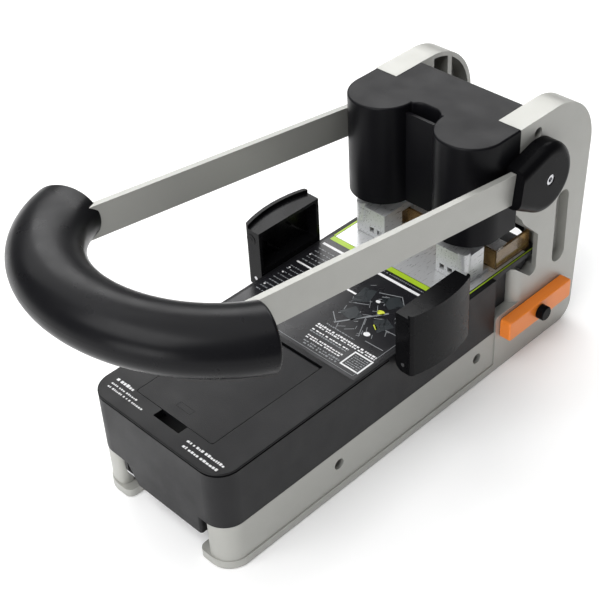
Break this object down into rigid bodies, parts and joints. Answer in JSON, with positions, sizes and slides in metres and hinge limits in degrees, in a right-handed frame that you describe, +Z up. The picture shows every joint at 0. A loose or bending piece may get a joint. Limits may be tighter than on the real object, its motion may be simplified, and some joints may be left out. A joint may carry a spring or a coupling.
{
  "type": "two-hole desk paper punch",
  "caption": "Heavy-duty two-hole desk paper punch with a long U-shaped lever, folding side guides, a lidded compartment and a chip drawer.",
  "frame": {"origin": "on the desk, under the middle of the punch's box with the lever lowered", "axes": "+X right, -Y towards the user and the grip, +Z up"},
  "size_m": [0.2266, 0.4313, 0.232],
  "materials": {
    "frame_paint": "cast, with satin silver paint",
    "arm_paint": "satin silver paint",
    "steel": "brushed",
    "bright_steel": "bright plated",
    "screws": "machined",
    "black_plate": "satin black paint",
    "housing_plastic": "fine moulded texture",
    "cover_plastic": "fine satin texture",
    "hub_plastic": "satin",
    "gloss_black": "gloss",
    "label_film": "printed film",
    "amber_plastic": "tinted",
    "orange_plastic": "satin gloss",
    "grip_rubber": "smooth soft satin",
    "rubber": "matt"
  },
  "bodies": {
    "base": {"left_frame": "frame_paint", "right_frame": "frame_paint", "rubber_feet": "rubber", "cross_bars": "steel", "tie_rod": "steel", "rail_screws": "screws", "tie_rod_screws": "screws", "rear_brace": "black_plate", "base_housing": "housing_plastic", "bottom_plates": "steel", "storage_tray": "housing_plastic", "table_label": "label_film", "table_plate": "steel", "die_bed": "steel", "bed_dowels": "steel", "left_die": "steel", "right_die": "steel", "back_fence": "amber_plastic", "guide_posts": "bright_steel", "guide_plate": "steel", "head_cover": "cover_plastic", "return_spring": "steel", "chip_chute": "housing_plastic"},
    "lever": {"pivot_shaft": "steel", "pivot_screws": "screws", "left_arm": "arm_paint", "right_arm": "arm_paint", "left_hub": "hub_plastic", "right_hub": "hub_plastic", "grip": "grip_rubber", "left_crank": "steel", "right_crank": "steel", "crank_rollers": "steel"},
    "ram": {"crosshead": "steel", "left_punch": "bright_steel", "right_punch": "bright_steel"},
    "presser": {"left_presser_foot": "bright_steel", "right_presser_foot": "bright_steel"},
    "left_guide": {"left_side_guide": "gloss_black", "left_guide_pin": "steel"},
    "right_guide": {"right_side_guide": "gloss_black", "right_guide_pin": "steel"},
    "lid": {"lid": "housing_plastic", "lid_hinge_pin": "steel"},
    "drawer": {"chip_drawer": "housing_plastic", "drawer_front": "orange_plastic"},
    "knob": {"drawer_knob": "hub_plastic"}
  },
  "joints": [
    {"name": "lever_swing", "type": "hinge", "parent": "base", "child": "lever", "pos_m": [0, 0.1457, 0.165], "axis": [-1, 0, 0], "range_deg": [0, 62]},
    {"name": "punch_slide", "type": "slide", "parent": "base", "child": "ram", "axis": [0, 0, 1], "range_m": [0, 0.0395]},
    {"name": "presser_lift", "type": "slide", "parent": "base", "child": "presser", "axis": [0, 0, 1], "range_m": [0, 0.0205]},
    {"name": "left_guide_fold", "type": "hinge", "parent": "base", "child": "left_guide", "pos_m": [-0.072, 0.0342, 0.0825], "axis": [0, -1, 0], "range_deg": [0, 90]},
    {"name": "right_guide_fold", "type": "hinge", "parent": "base", "child": "right_guide", "pos_m": [0.072, 0.0342, 0.0825], "axis": [0, 1, 0], "range_deg": [0, 90]},
    {"name": "lid_hinge", "type": "hinge", "parent": "base", "child": "lid", "pos_m": [0, -0.0416, 0.0859], "axis": [-1, 0, 0], "range_deg": [0, 100]},
    {"name": "drawer_slide", "type": "slide", "parent": "base", "child": "drawer", "axis": [1, 0, 0], "range_m": [0, 0.09]},
    {"name": "knob_turn", "type": "hinge", "parent": "drawer", "child": "knob", "pos_m": [0.0755, 0.1548, 0.04], "axis": [1, 0, 0], "continuous": true}
  ],
  "couplings": [
    {"joint": "punch_slide", "follows": "lever_swing", "m_per_rad": 0.036173},
    {"joint": "presser_lift", "follows": "lever_swing", "m_per_rad": 0.018483}
  ]
}
